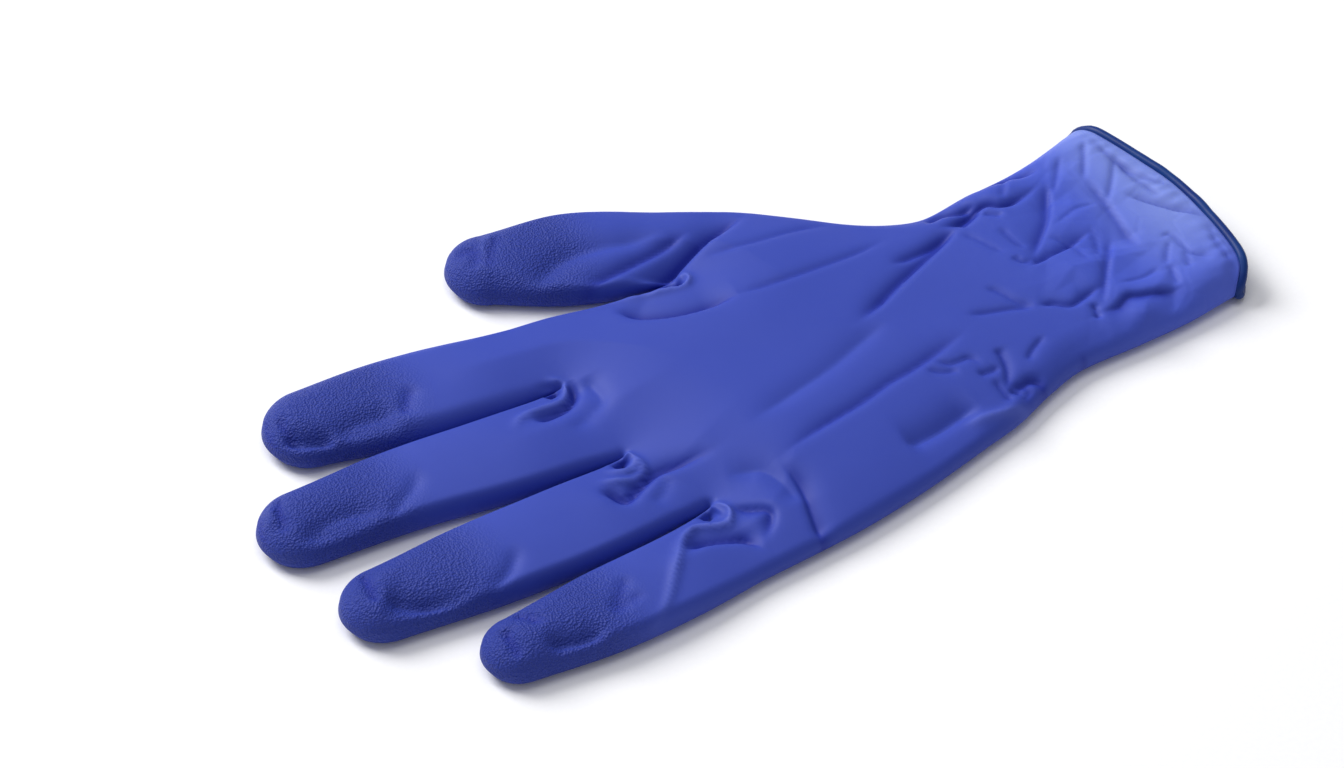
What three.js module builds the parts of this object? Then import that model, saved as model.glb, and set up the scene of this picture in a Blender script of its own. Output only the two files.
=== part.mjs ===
// A dip-moulded nitrile exam glove lying on a table, palm side and back pressed together
// with a little air left inside. It is one film from the fingertips to the rolled cuff, so it
// is one solid: hollow, open at the cuff, with the rolled bead as its thick rim.
// Millimetres. X runs along the hand to the cuff, Y to the thumb side, Z up from the table.
import * as THREE from 'three';

// Lengths along the hand
const BODY_LENGTH = 155;      // index-middle crotch to the corners of the cuff
const FINGER_LENGTH = 79.5;   // middle finger, from the same crotch to its tip
const THUMB_LENGTH = 54;      // middle of the thumb's root to its tip
const CUFF_BOW = 6.8;         // how far the middle of the cuff's rim stands out past its corners
const WEB_LEVEL = 0.215;      // little finger's side opposite the thumb's crotch, share of BODY_LENGTH
const HEEL_LEVEL = 0.370;     // the same, opposite the heel of the thumb

// Widths across the flat glove
const PALM_WIDTH = 93;        // knuckles, from the little finger's side to the index's side
const WRIST_WIDTH = 62;
const CUFF_WIDTH = 67;
const THUMB_WIDTH = 27.8;
const FINGER_GAP = 0.8;       // air between two fingers that lie side by side
const GAP_OPENS = 0.12;       // share of a finger over which that gap opens

// Heights above the table
const PUFF = 11;              // top of the film over the palm
const SIDE_FOLD = 3.4;        // the line where the upper film turns under along the outline
const UNDER_TURN = 4;         // how far in from the outline the turned-under film meets the table
const FINGER_ROUND = 12;      // how far in a finger's film goes on rising
const PALM_ROUND = 9;         // the same across the palm and the cuff
const WALL = 1.2;             // the film, thicker than the real one so that it is a solid
const BEAD_DIAMETER = 2.4;    // the rolled rim
const BEAD_RISE = 14;         // length over which the film lifts off the table to the rolled rim

// The finger crotches, from the little finger's outer side to the index's outer side.
// at: share of BODY_LENGTH towards the cuff; side: share of PALM_WIDTH.
const knuckleLine = [
  { at: 0.095, side: -0.652 },
  { at: 0.085, side: -0.402 },
  { at: 0.020, side: -0.160 },
  { at: 0.000, side: 0.118 },
  { at: -0.015, side: 0.367 },
];

// The two sides of the hand. at: share of BODY_LENGTH from the crotch (0) to the cuff (1);
// little and thumb: shares of the width named in the same row.
const littleSide = [
  { at: 0.095, of: PALM_WIDTH, little: -0.652 },
  { at: 0.240, of: PALM_WIDTH, little: -0.625 },
  { at: 0.325, of: PALM_WIDTH, little: -0.600 },
  { at: 0.410, of: PALM_WIDTH, little: -0.567 },
  { at: 0.510, of: PALM_WIDTH, little: -0.520 },
  { at: 0.575, of: PALM_WIDTH, little: -0.489 },
  { at: 0.645, of: PALM_WIDTH, little: -0.438 },
  { at: 0.715, of: WRIST_WIDTH, little: -0.600 },
  { at: 0.820, of: WRIST_WIDTH, little: -0.585 },
  { at: 0.915, of: WRIST_WIDTH, little: -0.566 },
  { at: 1.005, of: CUFF_WIDTH, little: -0.490 },
];
const indexSide = [
  { at: -0.015, of: PALM_WIDTH, thumb: 0.367 },
  { at: 0.050, of: PALM_WIDTH, thumb: 0.360 },
  { at: 0.132, of: PALM_WIDTH, thumb: 0.338 },
  { at: 0.200, of: PALM_WIDTH, thumb: 0.330 },
  { at: 0.255, of: PALM_WIDTH, thumb: 0.336 },
];
const thumbSide = [
  { at: 0.316, of: PALM_WIDTH, thumb: 0.573 },
  { at: 0.365, of: PALM_WIDTH, thumb: 0.533 },
  { at: 0.420, of: PALM_WIDTH, thumb: 0.483 },
  { at: 0.482, of: PALM_WIDTH, thumb: 0.408 },
  { at: 0.557, of: PALM_WIDTH, thumb: 0.313 },
  { at: 0.610, of: PALM_WIDTH, thumb: 0.263 },
  { at: 0.657, of: WRIST_WIDTH, thumb: 0.362 },
  { at: 0.737, of: WRIST_WIDTH, thumb: 0.394 },
  { at: 0.857, of: WRIST_WIDTH, thumb: 0.438 },
  { at: 0.970, of: CUFF_WIDTH, thumb: 0.490 },
];

// The rim between its two corners. at: share across, from the little finger's side; out: share
// of CUFF_BOW that it stands out past the corners.
const rimLine = [
  { at: 0.00, out: 0.00 },
  { at: 0.06, out: 0.52 },
  { at: 0.16, out: 0.80 },
  { at: 0.35, out: 0.98 },
  { at: 0.52, out: 1.00 },
  { at: 0.68, out: 0.76 },
  { at: 0.84, out: 0.48 },
  { at: 0.94, out: 0.26 },
  { at: 1.00, out: 0.00 },
];

// The four fingers. at: share of the finger from its root to where the rounded tip starts;
// little and thumb: its two sides as shares of PALM_WIDTH, at the line it shares with its
// neighbour, which keep half of FINGER_GAP each. reach: share of FINGER_LENGTH past the crotch.
const fingers = [
  { name: 'little', reach: 0.632, round: 0.52, sections: [
    { at: 0.30, little: -0.680, thumb: -0.440 },
    { at: 0.65, little: -0.695, thumb: -0.464 },
    { at: 1.00, little: -0.683, thumb: -0.497 },
  ] },
  { name: 'ring', reach: 0.908, round: 0.52, sections: [
    { at: 0.30, little: -0.440, thumb: -0.178 },
    { at: 0.65, little: -0.449, thumb: -0.192 },
    { at: 1.00, little: -0.434, thumb: -0.215 },
  ] },
  { name: 'middle', reach: 1.000, round: 0.50, sections: [
    { at: 0.30, little: -0.166, thumb: 0.106 },
    { at: 0.65, little: -0.140, thumb: 0.112 },
    { at: 1.00, little: -0.134, thumb: 0.098 },
  ] },
  { name: 'index', reach: 0.838, round: 0.50, sections: [
    { at: 0.30, little: 0.108, thumb: 0.388 },
    { at: 0.65, little: 0.118, thumb: 0.406 },
    { at: 1.00, little: 0.158, thumb: 0.400 },
  ] },
];

// The thumb, about its own axis, which leaves the hand at THUMB_LEAN.
// at: share of THUMB_LENGTH; in and out: half widths as shares of THUMB_WIDTH.
const THUMB_LEAN = 14;        // degrees off the line of the fingers
const THUMB_ROUND = 0.18;     // share of THUMB_LENGTH taken by the rounded tip
const THUMB_EVEN = 0.5;       // share of the thumb over which its even root columns crowd up
const thumbSections = [
  { at: 0.26, in: 0.476, out: 0.512 },
  { at: 0.52, in: 0.440, out: 0.552 },
  { at: 0.82, in: 0.290, out: 0.470 },
];

// Height of the upper film along the hand. at: share of the whole way from the middle
// fingertip (0) to the cuff (1); rise: share of PUFF.
const crown = [
  { at: 0.00, rise: 1.02 },
  { at: 0.12, rise: 1.04 },
  { at: 0.33, rise: 0.92 },
  { at: 0.50, rise: 1.00 },
  { at: 0.75, rise: 0.92 },
  { at: 1.00, rise: 0.86 },
];

// Main folds of the upper film: straight runs from one point to another. at and to: shares of
// BODY_LENGTH from the crotch to the cuff; side and toSide: shares of PALM_WIDTH; broad: half
// width, and rise: height (a valley is negative), both as shares of PUFF.
const folds = [
  { name: 'thumb valley', at: 0.10, side: 0.38, to: 0.40, toSide: 0.46, broad: 0.45, rise: -0.14 },
  { name: 'thumb web valley', at: 0.20, side: 0.26, to: 0.44, toSide: 0.14, broad: 0.50, rise: -0.13 },
  { name: 'index web lip', at: 0.00, side: 0.16, to: 0.04, toSide: 0.02, broad: 0.40, rise: 0.12 },
  { name: 'index web valley', at: -0.02, side: 0.03, to: 0.10, toSide: 0.12, broad: 0.40, rise: -0.14 },
  { name: 'middle web valley', at: -0.01, side: -0.25, to: 0.24, toSide: -0.33, broad: 0.45, rise: -0.15 },
  { name: 'ring web valley', at: 0.07, side: -0.48, to: 0.18, toSide: -0.52, broad: 0.45, rise: -0.16 },
  { name: 'little finger ridge', at: 0.06, side: -0.46, to: -0.07, toSide: -0.72, broad: 0.35, rise: 0.09 },
  { name: 'heel crease', at: 0.22, side: -0.38, to: 0.22, toSide: -0.64, broad: 0.40, rise: -0.10 },
  { name: 'long palm crease', at: 0.35, side: -0.17, to: 0.68, toSide: 0.12, broad: 0.45, rise: -0.12 },
  { name: 'second palm crease', at: 0.22, side: -0.32, to: 0.56, toSide: -0.20, broad: 0.50, rise: -0.10 },
  { name: 'upper palm crease', at: 0.42, side: 0.16, to: 0.60, toSide: 0.18, broad: 0.45, rise: -0.10 },
  { name: 'wrist tuck', at: 0.64, side: 0.17, to: 0.84, toSide: 0.13, broad: 0.40, rise: -0.14 },
  { name: 'far cuff fold', at: 0.72, side: 0.25, to: 0.90, toSide: 0.20, broad: 0.40, rise: -0.12 },
  { name: 'heel crumple', at: 0.56, side: -0.37, to: 0.68, toSide: -0.42, broad: 0.40, rise: -0.14 },
  { name: 'cuff fold', at: 0.84, side: 0.13, to: 0.74, toSide: -0.06, broad: 0.45, rise: -0.13 },
  { name: 'long cuff fold', at: 0.92, side: 0.14, to: 0.90, toSide: -0.18, broad: 0.45, rise: -0.12 },
  { name: 'near cuff fold', at: 0.77, side: -0.30, to: 0.91, toSide: -0.32, broad: 0.45, rise: -0.14 },
  { name: 'rim dip', at: 0.93, side: 0.10, to: 1.04, toSide: 0.18, broad: 0.60, rise: -0.15 },
];
const CALM_EDGE = 4;          // how far in from the outline a fold reaches its full height
const FOLD_END = 0.35;        // height of a fold at its two ends, as a share of its full height

// Mesh steps
const FINGER_COLUMNS = 6;     // columns across one finger
const ROOT_ROWS = 6;          // rows of the hand from the knuckle line to the thumb's crotch
const THUMB_ROWS = 5;         // rows of the hand that the thumb's root takes
const CUFF_ROWS = 18;         // rows from there to the rim
const FINGER_STEP = 7;        // length of a row along a finger
const TIP_STEPS = [1.6, 5.2]; // the last rows before the outline of a tip
const BEAD_SIDES = 7;         // sides of the rolled rim
const EDGE_SHARE = 0.018;     // the first column in from an edge, as a share of the row
const ROOT_SHARE = 0.040;     // the same at the thumb's root, which is no edge
const TURN_ROWS = 3;          // rows over which a finger takes on its own roundness
const STEEPEST = 0.72;        // limits how far a sharp corner's inner point moves in

// How quickly a change fades out along its strip, as powers of the share
const KNUCKLE_FADE = 1.5;     // the knuckle line's bends, towards the thumb's crotch
const RIM_FADE = 3;           // the rim's bow, away from the rim
const TIP_FADE = 3;           // a tip's round end, away from the tip

const COLUMNS = FINGER_COLUMNS * fingers.length;
const ROWS = ROOT_ROWS + THUMB_ROWS + CUFF_ROWS;
const mix = (a, b, t) => a + (b - a) * t;
const between = (a, b, t) => [mix(a[0], b[0], t), mix(a[1], b[1], t)];
const ease = (t) => {
  const s = Math.min(Math.max(t, 0), 1);
  return s * s * (3 - 2 * s);
};
const alongBody = (at) => -BODY_LENGTH * (1 - at);

// A smooth line through the rows of a table, read at one place.
function read(table, at, value) {
  const last = table.length - 1;
  let i = 0;
  while (i < last - 1 && at > table[i + 1].at) i += 1;
  const span = table[i + 1].at - table[i].at;
  const t = Math.min(Math.max((at - table[i].at) / span, 0), 1);
  const slope = (k) => {
    const low = Math.max(k - 1, 0);
    const high = Math.min(k + 1, last);
    return (value(table[high]) - value(table[low])) / (table[high].at - table[low].at) * span;
  };
  const square = t * t;
  const cube = square * t;
  return value(table[i]) * (2 * cube - 3 * square + 1) + slope(i) * (cube - 2 * square + t)
    + value(table[i + 1]) * (3 * square - 2 * cube) + slope(i + 1) * (cube - square);
}

const littlePoint = (at) => [alongBody(at), read(littleSide, at, (s) => s.of * s.little)];
const indexPoint = (at) => [alongBody(at), read(indexSide, at, (s) => s.of * s.thumb)];
const thumbPoint = (at) => [alongBody(at), read(thumbSide, at, (s) => s.of * s.thumb)];
const crotchPoint = (k) => [alongBody(knuckleLine[k].at), knuckleLine[k].side * PALM_WIDTH];

// Column places across a strip: closer together at both edges, where the film turns under.
function crowded(count) {
  return Array.from({ length: count + 1 }, (_, j) => (1 - Math.cos(Math.PI * j / count)) / 2);
}
function edged(j, count, first, last) {
  if (j === 0) return 0;
  if (j === count) return 1;
  return first + (1 - first - last) * (j - 1) / (count - 2);
}

// Plan of the hand: rows from the knuckle line to the rim, each from the little finger's side
// to the thumb's side.
const knuckleShares = crowded(FINGER_COLUMNS);
function knucklePoint(j) {
  const k = Math.min(Math.floor(j / FINGER_COLUMNS), fingers.length - 1);
  return between(crotchPoint(k), crotchPoint(k + 1), knuckleShares[j - k * FINGER_COLUMNS]);
}
const thumbCrotch = indexPoint(indexSide[indexSide.length - 1].at);
const thumbHeel = thumbPoint(thumbSide[0].at);
function rowEnds(i) {
  const start = littleSide[0].at;
  if (i <= ROOT_ROWS) {
    const t = i / ROOT_ROWS;
    return [littlePoint(mix(start, WEB_LEVEL, t)),
      indexPoint(mix(indexSide[0].at, indexSide[indexSide.length - 1].at, t))];
  }
  if (i <= ROOT_ROWS + THUMB_ROWS) {
    const t = (i - ROOT_ROWS) / THUMB_ROWS;
    return [littlePoint(mix(WEB_LEVEL, HEEL_LEVEL, t)), between(thumbCrotch, thumbHeel, t)];
  }
  const t = (i - ROOT_ROWS - THUMB_ROWS) / CUFF_ROWS;
  return [littlePoint(mix(HEEL_LEVEL, littleSide[littleSide.length - 1].at, t)),
    thumbPoint(mix(thumbSide[0].at, thumbSide[thumbSide.length - 1].at, t))];
}
function bodyPoint(i, j) {
  const [near, far] = rowEnds(i);
  const [rootNear, rootFar] = rowEnds(0);
  const knuckle = knucklePoint(j);
  const rootShare = (knuckle[1] - rootNear[1]) / (rootFar[1] - rootNear[1]);
  const loose = ease(i / (ROOT_ROWS + THUMB_ROWS));
  const beside = Math.abs(i - ROOT_ROWS - THUMB_ROWS / 2) / (THUMB_ROWS / 2);
  const last = mix(ROOT_SHARE, EDGE_SHARE, ease(beside - 1));
  const share = mix(rootShare, edged(j, COLUMNS, EDGE_SHARE, last), loose);
  const p = between(near, far, share);
  const straight = between(rootNear, rootFar, rootShare);
  const knuckleHold = Math.max(1 - i / ROOT_ROWS, 0) ** KNUCKLE_FADE;
  const rim = Math.max((i - ROOT_ROWS - THUMB_ROWS) / CUFF_ROWS, 0) ** RIM_FADE;
  const bow = CUFF_BOW * rim * read(rimLine, share, (s) => s.out);
  return [p[0] + (knuckle[0] - straight[0]) * knuckleHold + bow,
    p[1] + (knuckle[1] - straight[1]) * knuckleHold];
}

// Row places along a finger or the thumb: even steps, then the short steps at the tip.
function rowPlaces(length) {
  const even = length - TIP_STEPS[TIP_STEPS.length - 1];
  const count = Math.max(Math.round(even / FINGER_STEP), 2);
  const places = Array.from({ length: count + 1 }, (_, r) => even * r / count);
  for (let k = TIP_STEPS.length - 2; k >= 0; k -= 1) places.push(length - TIP_STEPS[k]);
  places.push(length);
  return places.map((s) => s / length);
}

// Plan of a finger. Its rows start straight at the knuckle line and end as the rounded tip.
function fingerPlan(k) {
  const finger = fingers[k];
  const rootA = crotchPoint(k);
  const rootB = crotchPoint(k + 1);
  const tipX = -BODY_LENGTH - finger.reach * FINGER_LENGTH;
  const last = finger.sections[finger.sections.length - 1];
  const wide = (last.thumb - last.little) * PALM_WIDTH - FINGER_GAP;
  const roundDepth = wide * finger.round;
  const table = [{ at: 0, little: rootA[1] / PALM_WIDTH, thumb: rootB[1] / PALM_WIDTH },
    ...finger.sections];
  const places = rowPlaces(Math.abs(tipX + roundDepth - (rootA[0] + rootB[0]) / 2));
  return places.map((at) => {
    const gap = FINGER_GAP / 2 * ease(at / GAP_OPENS);
    const a = [mix(rootA[0], tipX + roundDepth, at),
      read(table, at, (s) => s.little * PALM_WIDTH) + (k > 0 ? gap : 0)];
    const b = [mix(rootB[0], tipX + roundDepth, at),
      read(table, at, (s) => s.thumb * PALM_WIDTH) - (k < fingers.length - 1 ? gap : 0)];
    return knuckleShares.map((f) => {
      const p = between(a, b, f);
      return [p[0] - roundDepth * at ** TIP_FADE * Math.sqrt(1 - (2 * f - 1) ** 2), p[1]];
    });
  });
}

// Plan of the thumb. Its root is the stretch of the hand's side from its crotch to its heel.
function thumbPlan() {
  const lean = THREE.MathUtils.degToRad(THUMB_LEAN);
  const axis = [-Math.cos(lean), Math.sin(lean)];
  const out = [Math.sin(lean), Math.cos(lean)];
  const root = between(thumbCrotch, thumbHeel, 0.5);
  const reach = (p) => [(p[0] - root[0]) * axis[0] + (p[1] - root[1]) * axis[1],
    (p[0] - root[0]) * out[0] + (p[1] - root[1]) * out[1]];
  const rootIn = reach(thumbCrotch);
  const rootOut = reach(thumbHeel);
  const straight = 1 - THUMB_ROUND;
  const table = [{ at: 0, in: -rootIn[1] / THUMB_WIDTH, out: rootOut[1] / THUMB_WIDTH },
    ...thumbSections];
  const shares = crowded(THUMB_ROWS);
  return rowPlaces(THUMB_LENGTH * straight).map((at) => {
    const s = at * straight;
    const loose = ease(at / THUMB_EVEN);
    return shares.map((f, m) => {
      const even = mix(m / THUMB_ROWS, f, loose);
      const side = mix(-read(table, s, (q) => q.in * THUMB_WIDTH),
        read(table, s, (q) => q.out * THUMB_WIDTH), even);
      const start = mix(rootIn[0], rootOut[0], even) * (1 - at);
      const round = THUMB_LENGTH * THUMB_ROUND * at ** TIP_FADE * Math.sqrt(1 - (2 * f - 1) ** 2);
      const ahead = start + s * THUMB_LENGTH + round;
      return [root[0] + axis[0] * ahead + out[0] * side,
        root[1] + axis[1] * ahead + out[1] * side];
    });
  });
}

// The plan points of every row, and which of them lie on the outline, where upper and lower
// film meet in the side fold.
const points = [];
function addPoint(xy, onOutline, round) {
  points.push({ xy, onOutline, round });
  return points.length - 1;
}
const hand = [];
for (let i = 0; i <= ROWS; i += 1) {
  const row = [];
  for (let j = 0; j <= COLUMNS; j += 1) {
    const crotch = i === 0 && j % FINGER_COLUMNS === 0;
    const thumbRoot = j === COLUMNS && i > ROOT_ROWS && i < ROOT_ROWS + THUMB_ROWS;
    row.push(addPoint(bodyPoint(i, j), crotch || j === 0 || (j === COLUMNS && !thumbRoot),
      PALM_ROUND));
  }
  hand.push(row);
}
function addStrip(root, plan) {
  const strip = [root];
  plan.slice(1).forEach((row, r) => {
    const tip = r === plan.length - 2;
    const round = mix(PALM_ROUND, FINGER_ROUND, ease((r + 1) / TURN_ROWS));
    strip.push(row.map((xy, j) => addPoint(xy, tip || j === 0 || j === row.length - 1, round)));
  });
  return strip;
}
const strips = fingers.map((_, k) => addStrip(
  hand[0].slice(k * FINGER_COLUMNS, (k + 1) * FINGER_COLUMNS + 1), fingerPlan(k)));
const thumbRoot = hand.slice(ROOT_ROWS, ROOT_ROWS + THUMB_ROWS + 1).map((row) => row[COLUMNS]);
strips.push(addStrip(thumbRoot, thumbPlan()));

// The outline as one list of straight pieces, for measuring how far in a point lies.
const outline = [];
function addEdge(a, b) {
  outline.push([points[a].xy, points[b].xy]);
}
for (let i = 0; i < ROWS; i += 1) {
  addEdge(hand[i][0], hand[i + 1][0]);
  if (i < ROOT_ROWS || i >= ROOT_ROWS + THUMB_ROWS) addEdge(hand[i][COLUMNS], hand[i + 1][COLUMNS]);
}
strips.forEach((strip) => {
  const wide = strip[0].length - 1;
  for (let r = 0; r < strip.length - 1; r += 1) {
    addEdge(strip[r][0], strip[r + 1][0]);
    addEdge(strip[r][wide], strip[r + 1][wide]);
  }
  for (let j = 0; j < wide; j += 1) addEdge(strip[strip.length - 1][j], strip[strip.length - 1][j + 1]);
});
function fromSegment(p, a, b) {
  const dx = b[0] - a[0];
  const dy = b[1] - a[1];
  const t = Math.min(Math.max(((p[0] - a[0]) * dx + (p[1] - a[1]) * dy) / (dx * dx + dy * dy), 0), 1);
  return { far: Math.hypot(p[0] - a[0] - dx * t, p[1] - a[1] - dy * t), t };
}
const inFromOutline = (p) => Math.min(...outline.map(([a, b]) => fromSegment(p, a, b).far));

// Heights of the two films over a plan point.
const rounded = (d, reach) => {
  const t = 1 - Math.min(d / reach, 1);
  return Math.sqrt(1 - t * t);
};
function heights(point) {
  const [x, y] = point.xy;
  const d = point.onOutline ? 0 : inFromOutline(point.xy);
  const beadLift = (BEAD_DIAMETER - WALL) / 2 * ease((x + BEAD_RISE) / BEAD_RISE);
  const whole = (x + BODY_LENGTH + FINGER_LENGTH) / (BODY_LENGTH + FINGER_LENGTH);
  const top = PUFF * read(crown, whole, (s) => s.rise);
  let upper = SIDE_FOLD + (top - SIDE_FOLD) * rounded(d, point.round);
  folds.forEach((fold) => {
    const a = [alongBody(fold.at), fold.side * PALM_WIDTH];
    const b = [alongBody(fold.to), fold.toSide * PALM_WIDTH];
    const { far, t } = fromSegment([x, y], a, b);
    const ends = mix(FOLD_END, 1, ease(4 * Math.min(t, 1 - t)));
    upper += fold.rise * PUFF * ends * Math.exp(-((far / (fold.broad * PUFF)) ** 2))
      * ease(d / CALM_EDGE);
  });
  const lower = beadLift + (SIDE_FOLD - beadLift) * (1 - rounded(d, UNDER_TURN));
  return { upper, lower };
}

// The outer skin: an upper and a lower film that share the points of the outline.
const skin = [];
const upperId = [];
const lowerId = [];
points.forEach((point, n) => {
  const { upper, lower } = heights(point);
  upperId[n] = skin.push([...point.xy, upper]) - 1;
  lowerId[n] = point.onOutline ? upperId[n] : skin.push([...point.xy, lower]) - 1;
});
const faces = [];
function addCell(a, b, c, d) {
  const [p, q, r] = [a, b, c].map((n) => points[n].xy);
  const turn = (q[0] - p[0]) * (r[1] - p[1]) - (q[1] - p[1]) * (r[0] - p[0]);
  const ring = turn > 0 ? [a, b, c, d] : [a, d, c, b];
  const up = ring.map((n) => upperId[n]);
  const down = ring.map((n) => lowerId[n]).reverse();
  [up, down].forEach((cell) => {
    const [e, f, g, h] = cell;
    const short = (m, n) => skin[m].reduce((sum, v, k) => sum + (v - skin[n][k]) ** 2, 0);
    if (short(e, g) <= short(f, h)) faces.push([e, f, g], [e, g, h]);
    else faces.push([f, g, h], [f, h, e]);
  });
}
for (let i = 0; i < ROWS; i += 1) {
  for (let j = 0; j < COLUMNS; j += 1) {
    addCell(hand[i][j], hand[i][j + 1], hand[i + 1][j + 1], hand[i + 1][j]);
  }
}
strips.forEach((strip) => {
  for (let r = 0; r < strip.length - 1; r += 1) {
    for (let j = 0; j < strip[r].length - 1; j += 1) {
      addCell(strip[r][j], strip[r][j + 1], strip[r + 1][j + 1], strip[r + 1][j]);
    }
  }
});

// The inner skin lies WALL inside the outer one, measured square to the film.
const normals = skin.map(() => new THREE.Vector3());
const touching = skin.map(() => []);
faces.forEach((face) => {
  const [a, b, c] = face.map((n) => new THREE.Vector3(...skin[n]));
  const n = b.clone().sub(a).cross(c.clone().sub(a)).normalize();
  face.forEach((id, k) => {
    const p = [a, b, c];
    const angle = p[(k + 1) % 3].clone().sub(p[k]).angleTo(p[(k + 2) % 3].clone().sub(p[k]));
    normals[id].addScaledVector(n, angle);
    touching[id].push([n, angle]);
  });
});
const inner = skin.map((p, id) => {
  const n = normals[id].normalize();
  const total = touching[id].reduce((sum, [, angle]) => sum + angle, 0);
  const square = touching[id].reduce((sum, [m, angle]) => sum + m.dot(n) * angle, 0) / total;
  const depth = WALL / Math.max(square, STEEPEST);
  return [p[0] - n.x * depth, p[1] - n.y * depth, p[2] - n.z * depth];
});
const positions = [...skin, ...inner];
const triangles = [...faces];
faces.forEach(([a, b, c]) => triangles.push([a + skin.length, c + skin.length, b + skin.length]));

// The rolled bead: at the rim the film runs into a ring of round section that joins the two
// skins. Its loop goes over the upper film from the little finger's side and back underneath.
const loop = [...hand[ROWS].map((n) => upperId[n]),
  ...hand[ROWS].slice(1, -1).map((n) => lowerId[n]).reverse()];
const half = WALL / 2;
const beadRadius = BEAD_DIAMETER / 2;
const neck = Math.sqrt(beadRadius ** 2 - half ** 2);
const opening = Math.asin(half / beadRadius);
const rings = [loop];
const toVector = (id) => new THREE.Vector3(...positions[id]);
for (let k = 1; k < BEAD_SIDES; k += 1) {
  const turn = opening + (2 * Math.PI - 2 * opening) * k / BEAD_SIDES;
  rings.push(loop.map((id, m) => {
    const outer = toVector(id);
    const through = outer.clone().sub(toVector(id + skin.length)).normalize();
    const next = toVector(loop[(m + 1) % loop.length]);
    const before = toVector(loop[(m + loop.length - 1) % loop.length]);
    const ahead = next.sub(before).cross(through).normalize();
    if (ahead.x < 0) ahead.negate();
    const centre = outer.clone().addScaledVector(through, -half).addScaledVector(ahead, neck);
    centre.addScaledVector(ahead, -Math.cos(turn) * beadRadius);
    centre.addScaledVector(through, Math.sin(turn) * beadRadius);
    return positions.push([centre.x, centre.y, centre.z]) - 1;
  }));
}
rings.push(loop.map((id) => id + skin.length));
for (let k = 0; k < rings.length - 1; k += 1) {
  for (let m = 0; m < loop.length; m += 1) {
    const n = (m + 1) % loop.length;
    const [a, b, c, d] = [rings[k][m], rings[k][n], rings[k + 1][n], rings[k + 1][m]];
    triangles.push([a, c, b], [a, d, c]);
  }
}

// Everything is set about the middle of the glove's box, standing on the table.
const geometry = new THREE.BufferGeometry();
geometry.setAttribute('position', new THREE.Float32BufferAttribute(positions.flat(), 3));
geometry.setIndex(triangles.flat());
geometry.computeBoundingBox();
const box = geometry.boundingBox;
geometry.translate(-(box.min.x + box.max.x) / 2, -(box.min.y + box.max.y) / 2, -box.min.z);
geometry.computeVertexNormals();

const nitrile = new THREE.MeshStandardMaterial({ color: 0x3442a8, roughness: 0.5, metalness: 0 });
nitrile.name = 'nitrile_film';
const glove = new THREE.Mesh(geometry, nitrile);
glove.name = 'glove';

const model = new THREE.Group();
model.name = 'nitrile_exam_glove';
model.add(glove);
export default model;
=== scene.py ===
import bpy
import math
import numpy as np
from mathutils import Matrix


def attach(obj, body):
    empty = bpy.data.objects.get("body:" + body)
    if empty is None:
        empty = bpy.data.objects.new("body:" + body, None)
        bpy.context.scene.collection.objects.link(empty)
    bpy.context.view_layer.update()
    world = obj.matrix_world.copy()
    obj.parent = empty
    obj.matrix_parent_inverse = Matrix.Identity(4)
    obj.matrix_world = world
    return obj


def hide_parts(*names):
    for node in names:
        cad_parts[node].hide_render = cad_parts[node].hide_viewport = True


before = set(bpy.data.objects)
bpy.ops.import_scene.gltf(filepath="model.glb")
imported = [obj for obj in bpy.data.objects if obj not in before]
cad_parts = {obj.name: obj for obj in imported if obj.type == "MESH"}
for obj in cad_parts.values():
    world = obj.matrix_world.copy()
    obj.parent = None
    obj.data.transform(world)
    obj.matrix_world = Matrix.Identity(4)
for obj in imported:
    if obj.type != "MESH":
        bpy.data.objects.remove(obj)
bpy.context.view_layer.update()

# The camera: a product shot from 45 degrees above the table, with the fingers towards the lower
# left of the picture and the cuff at the upper right.
VIEW_TURN = math.radians(-27.27)
VIEW_RISE = math.radians(45.0)
VIEW_AWAY = 0.800
FOCAL_PIXELS = 3464.0
IMAGE_WIDTH = 1344.0
looked_at = np.array([-0.0162, 0.0037, 0.0])
back = np.array([math.sin(VIEW_TURN) * math.cos(VIEW_RISE),
                 -math.cos(VIEW_TURN) * math.cos(VIEW_RISE),
                 math.sin(VIEW_RISE)])
camera_data = bpy.data.cameras.new("product_camera")
camera_data.sensor_width = 36.0
camera_data.lens = 36.0 * FOCAL_PIXELS / IMAGE_WIDTH
camera_data.clip_start = 0.05
camera = bpy.data.objects.new("product_camera", camera_data)
camera.location = looked_at + back * VIEW_AWAY
camera.rotation_euler = (math.pi / 2 - VIEW_RISE, 0.0, VIEW_TURN)
bpy.context.scene.collection.objects.link(camera)
bpy.context.scene.camera = camera


# The table top: a smooth sheet of matt white paper that runs on well past the picture.
# It is only the ground that the glove lies on, and its grain of about a millimetre hardly shows.
def linear(hex_colour):
    """An sRGB hex colour as the linear values that the shaders take."""
    parts = [int(hex_colour[k:k + 2], 16) / 255 for k in (1, 3, 5)]
    return [p / 12.92 if p <= 0.04045 else ((p + 0.055) / 1.055) ** 2.4 for p in parts] + [1.0]


def node(tree, kind, settings=(), values=(), links=()):
    """Adds one shader node: its own settings, its sockets' values, and links into its sockets."""
    made = tree.nodes.new(kind)
    for name, value in dict(settings).items():
        setattr(made, name, value)
    for socket, value in dict(values).items():
        made.inputs[socket].default_value = value
    for socket, source in dict(links).items():
        tree.links.new(source, made.inputs[socket])
    return made


def new_material(name):
    """An empty material and the node tree to fill."""
    material = bpy.data.materials.new(name)
    material.use_nodes = True
    material.node_tree.nodes.clear()
    return material, material.node_tree


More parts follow.
